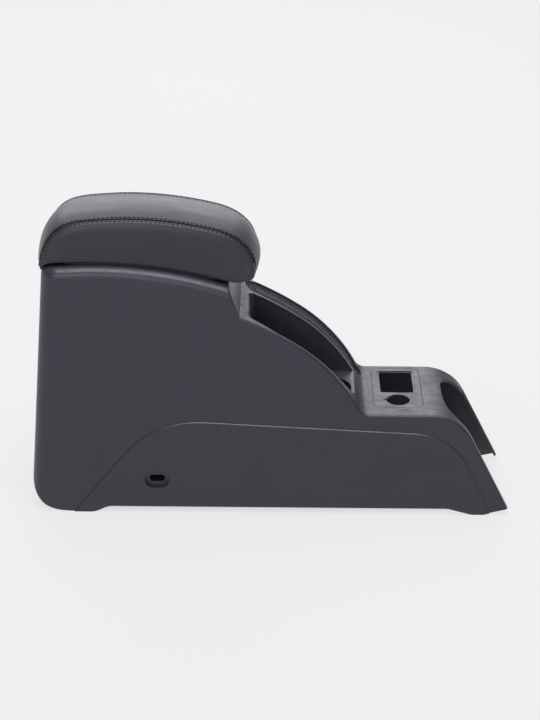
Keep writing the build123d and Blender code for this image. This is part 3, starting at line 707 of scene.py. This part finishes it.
def sew(mesh, cover, rows, held):
    """Creases the swollen cover and sinks its seams; gives the lines of its stitches and of its seams."""
    depth = {0: SEAM_DEPTH, 1: FLANK_SHARE * SEAM_DEPTH, STITCH_COLUMN: STITCH_DEPTH}
    sink = {}
    for station, row in enumerate(rows):
        for side in SIDES:
            for offset in range(-STITCH_COLUMN, STITCH_COLUMN + 1):
                sink[row[cover.column(offset, side)]] = depth[abs(offset)] * end_fade(station)
    normals = [v.normal.copy() for v in mesh.vertices]
    places = [v.co.copy() for v in mesh.vertices]
    for vertex, normal, place in zip(mesh.vertices, normals, places):
        lift = 0.0 if vertex.index in held else wrinkle(place, normal)
        vertex.co = place + normal * (lift - sink.get(vertex.index, 0.0))

    def line(offset, side, end):
        """Places and normals down one column of the cover, without the stations at its ends."""
        points = [row[cover.column(offset, side)] for row in rows[end:-end]]
        return [(mesh.vertices[k].co.copy(), normals[k]) for k in points]

    beside = (-STITCH_COLUMN, STITCH_COLUMN)
    stitch_lines = [line(offset, side, STITCHED_END) for side in SIDES for offset in beside]
    return stitch_lines, [line(0, side, SEAM_END) for side in SIDES]


def weld(mesh):
    """Joins the points that lie on each other at the lip's edge and at the nose's tip."""
    work = bmesh.new()
    work.from_mesh(mesh)
    bmesh.ops.remove_doubles(work, verts=work.verts, dist=WELD)
    work.to_mesh(mesh)
    work.free()


def make_cover():
    """Padded leather cover in place of the rigid one; gives the lines of its stitches and of its seams."""
    cover = LeatherCover()
    cover.turn_outward()
    held = cover.held()
    for station, row in enumerate(cover.rows):
        for v in row:
            if v.index not in held:
                v.co -= v.normal * COVER_INSET * end_fade(station)
    rows = [[v.index for v in row] for row in cover.rows]
    mesh = bpy.data.meshes.new("lid_leather_cover")
    cover.mesh.to_mesh(mesh)
    cover.mesh.free()
    obj = new_object("lid_leather_cover", mesh, leather_look, "lid")
    swell(obj, sorted(held))
    lines = sew(mesh, cover, rows, held)
    weld(mesh)
    smooth = obj.modifiers.new("smooth", "SUBSURF")
    smooth.levels = 1
    smooth.render_levels = 1
    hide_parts("lid_cover", "lid_foam")
    return lines


# Dark seam cords as painted shade in the seam grooves, and stitches
def resample(line):
    """Places, directions and normals of the stitches along one row."""
    points = [p for p, _ in line]
    steps = np.concatenate([[0], np.cumsum([(b - a).length for a, b in zip(points, points[1:])])])
    xyz = np.array(points)
    nrm = np.array([n for _, n in line])
    spots = []
    for start in np.arange(STITCH_PITCH, steps[-1] - STITCH_PITCH, STITCH_PITCH):
        place, before, after = (
            Vector([np.interp(start + d, steps, xyz[:, k]) for k in range(3)])
            for d in (0, -STITCH_LENGTH / 2, STITCH_LENGTH / 2)
        )
        normal = Vector([np.interp(start, steps, nrm[:, k]) for k in range(3)]).normalized()
        spots.append((place, (after - before).normalized(), normal))
    return spots


def ring_points(centre, across, normal, radius):
    """Points of one ring of a thread."""
    turns = [2 * math.pi * k / STITCH_SIDES for k in range(STITCH_SIDES)]
    return [centre + radius * (across * math.cos(t) + normal * math.sin(t)) for t in turns]


def add_tube(work, rings):
    """Skin of a closed tube through its rings of points."""
    rings = [[work.verts.new(point) for point in ring] for ring in rings]
    for a, b in zip(rings, rings[1:]):
        for k in range(STITCH_SIDES):
            n = (k + 1) % STITCH_SIDES
            work.faces.new((a[k], a[n], b[n], b[k]))
    work.faces.new(rings[0][::-1])
    work.faces.new(rings[-1])


def shade_cord_rings(seam):
    """Rings of the dark cord along one seam, painted shade for its groove, which dips into the leather at
    both ends.
    """
    rings = []
    for index, (place, normal) in enumerate(seam):
        along = seam[min(index + 1, len(seam) - 1)][0] - seam[max(index - 1, 0)][0]
        across = along.cross(normal).normalized()
        rise = SEAM_SHADE_CORD * (2 * end_fade(index + SEAM_END) - 1)
        rings.append(ring_points(place + normal * rise, across, normal, SEAM_SHADE_CORD))
    return rings


def stitch_rings(place, along, normal):
    """Rings of one stitch, thin and sunk in at both ends."""
    across = along.cross(normal).normalized()
    rings = []
    for t in np.linspace(-1, 1, STITCH_RINGS):
        radius = STITCH_RADIUS * math.sqrt(1 - (STITCH_TAPER * t) ** 2)
        rise = STITCH_RISE * (1 - STITCH_DIP * t * t)
        centre = place + along * (t * STITCH_LENGTH / 2) + normal * rise
        rings.append(ring_points(centre, across, normal, radius))
    return rings


def make_stitches(lines, seams):
    """Dark cords in the seams, as painted shade for their grooves, and the rows of stitches beside them, as
    one piece.
    """
    work = bmesh.new()
    for seam in seams:
        add_tube(work, shade_cord_rings(seam))
    for line in lines:
        for place, along, normal in resample(line):
            add_tube(work, stitch_rings(place, along, normal))
    bmesh.ops.recalc_face_normals(work, faces=work.faces)
    mesh = bpy.data.meshes.new("lid_stitching_and_seam_shade")
    work.to_mesh(mesh)
    work.free()
    new_object("lid_stitching_and_seam_shade", mesh, thread_and_seam_shade_look, "lid")


# Studio
def distance_outside(tree, place, middle, half):
    """Distance from a box with a middle and half sizes, and nothing inside it."""
    away = place
    steps = (("SUBTRACT", middle), ("ABSOLUTE", None), ("SUBTRACT", half), ("MAXIMUM", (0, 0, 0)))
    for operation, value in steps:
        step = tree.nodes.new("ShaderNodeVectorMath")
        step.operation = operation
        tree.links.new(away, step.inputs[0])
        if value is not None:
            step.inputs[1].default_value = value
        away = step.outputs["Vector"]
    distance = tree.nodes.new("ShaderNodeVectorMath")
    distance.operation = "LENGTH"
    tree.links.new(away, distance.inputs[0])
    return distance.outputs["Value"]


def floor_material():
    """White surface that glows round the console, with a painted shadow under it where the glow is cut away.
    """
    mat, tree, shader, place = new_material("studio_floor_look")
    cloud = noise_node(tree, place, FLOOR_CLOUD, detail=1)
    tree.links.new(ramp(tree, cloud, *FLOOR_SHADES), shader.inputs["Base Color"])
    shader.inputs["Roughness"].default_value = 0.9
    middle = (cad_low + cad_high) / 2
    # Painted shadow: no glow inside the console's footprint shrunk by the margin, full glow past the fade
    half = (cad_high - cad_low) / 2 - Vector((PAINTED_SHADOW_MARGIN, PAINTED_SHADOW_MARGIN, -cad_high.z))
    glow_round_painted_shadow = ramp(tree, distance_outside(tree, place, middle, half), 0.0, 1.0, start=0.0, end=PAINTED_SHADOW_FADE)
    tree.links.new(glow_round_painted_shadow, shader.inputs["Emission Color"])
    shader.inputs["Emission Strength"].default_value = FLOOR_GLOW
    return mat


def make_floor():
    """Wide floor under the console."""
    work = bmesh.new()
    bmesh.ops.create_grid(work, x_segments=8, y_segments=8, size=FLOOR_HALF)
    mesh = bpy.data.meshes.new("studio_floor")
    work.to_mesh(mesh)
    work.free()
    mesh.materials.append(floor_material())
    floor = bpy.data.objects.new("studio_floor", mesh)
    bpy.context.scene.collection.objects.link(floor)


def make_softbox(name, place, width, height, power):
    """Rectangular light that looks at the console."""
    data = bpy.data.lights.new(name, "AREA")
    data.shape = "RECTANGLE"
    data.size = width
    data.size_y = height
    data.energy = power
    data.color = COOL_LIGHT
    light = bpy.data.objects.new(name, data)
    light.location = place
    light.rotation_euler = (Vector(place) - LIGHT_TARGET).to_track_quat("Z", "Y").to_euler()
    bpy.context.scene.collection.objects.link(light)


def make_world():
    """Dim cool surroundings."""
    world = bpy.data.worlds.new("studio_world")
    world.use_nodes = True
    background = world.node_tree.nodes["Background"]
    background.inputs["Color"].default_value = WORLD_COLOUR
    background.inputs["Strength"].default_value = WORLD_STRENGTH
    bpy.context.scene.world = world


def make_camera():
    """Camera at the photograph's angle."""
    azimuth = math.radians(CAMERA_AZIMUTH)
    elevation = math.radians(CAMERA_ELEVATION)
    level = math.cos(elevation)
    back = Vector((math.sin(azimuth) * level, -math.cos(azimuth) * level, math.sin(elevation)))
    roll = Matrix.Rotation(math.radians(CAMERA_ROLL), 4, "Z")
    data = bpy.data.cameras.new("photo_camera")
    data.lens = CAMERA_LENS
    data.clip_end = CAMERA_REACH
    camera = bpy.data.objects.new("photo_camera", data)
    turn = back.to_track_quat("Z", "Y").to_matrix().to_4x4() @ roll
    camera.matrix_world = Matrix.Translation(CAMERA_TARGET + back * CAMERA_DISTANCE) @ turn
    bpy.context.scene.collection.objects.link(camera)
    bpy.context.scene.camera = camera


make_stitches(*make_cover())
make_floor()
make_world()
for name, (place, width, height, power) in SOFTBOXES.items():
    make_softbox(name, place, width, height, power)
make_camera()
bpy.context.scene.view_settings.view_transform = "Standard"
